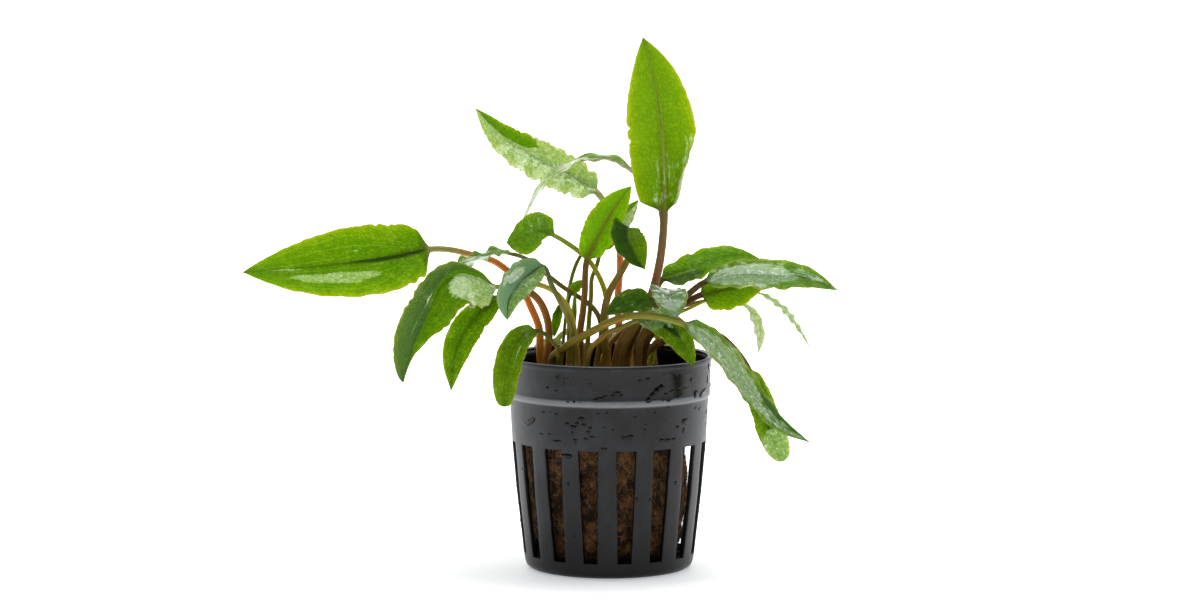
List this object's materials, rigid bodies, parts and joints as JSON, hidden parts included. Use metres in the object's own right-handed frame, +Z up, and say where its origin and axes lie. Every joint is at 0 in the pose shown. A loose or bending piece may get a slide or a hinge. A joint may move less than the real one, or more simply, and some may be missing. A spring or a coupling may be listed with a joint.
{
  "type": "potted aquarium plant",
  "caption": "Small broad-leaved aquarium plant with wavy lance-shaped leaves on slender stalks, rooted in a fibre plug inside a slotted black net pot.",
  "frame": {"origin": "middle of the flat underside of the pot", "axes": "+Z up along the pot's axis, -Y toward the front of the plant as pictured, +X to the right"},
  "size_m": [0.1476, 0.0723, 0.1326],
  "materials": {
    "pot_plastic": "satin",
    "mineral_wool": "matte",
    "leaf_green": "satin",
    "old_stalk": "matte",
    "plant_scrap": "matte"
  },
  "bodies": {
    "root": {"cut_stub": "old_stalk", "leaf_arching": "leaf_green", "leaf_back_left": "leaf_green", "leaf_back_middle": "leaf_green", "leaf_back_right": "leaf_green", "leaf_centre": "leaf_green", "leaf_curled_front": "leaf_green", "leaf_dark_centre": "leaf_green", "leaf_droop_right": "leaf_green", "leaf_edge_left": "leaf_green", "leaf_folded_front": "leaf_green", "leaf_front_drop": "leaf_green", "leaf_glossy_left": "leaf_green", "leaf_grey_front": "leaf_green", "leaf_hanging_left": "leaf_green", "leaf_hidden_centre": "leaf_green", "leaf_left_wide": "leaf_green", "leaf_long_front": "leaf_green", "leaf_over_rim": "leaf_green", "leaf_pale_behind": "leaf_green", "leaf_right_long": "leaf_green", "leaf_right_lower": "leaf_green", "leaf_right_upper": "leaf_green", "leaf_small_left": "leaf_green", "leaf_spear": "leaf_green", "leaf_sprout": "leaf_green", "leaf_tall": "leaf_green", "leaf_thin_right": "leaf_green", "leaf_tiny_droop": "leaf_green", "leaf_upper_left": "leaf_green", "leaf_withered_right": "leaf_green", "net_pot": "pot_plastic", "sheath_scrap": "plant_scrap", "slot_scrap": "plant_scrap", "wool_plug": "mineral_wool"}
  },
  "joints": []
}
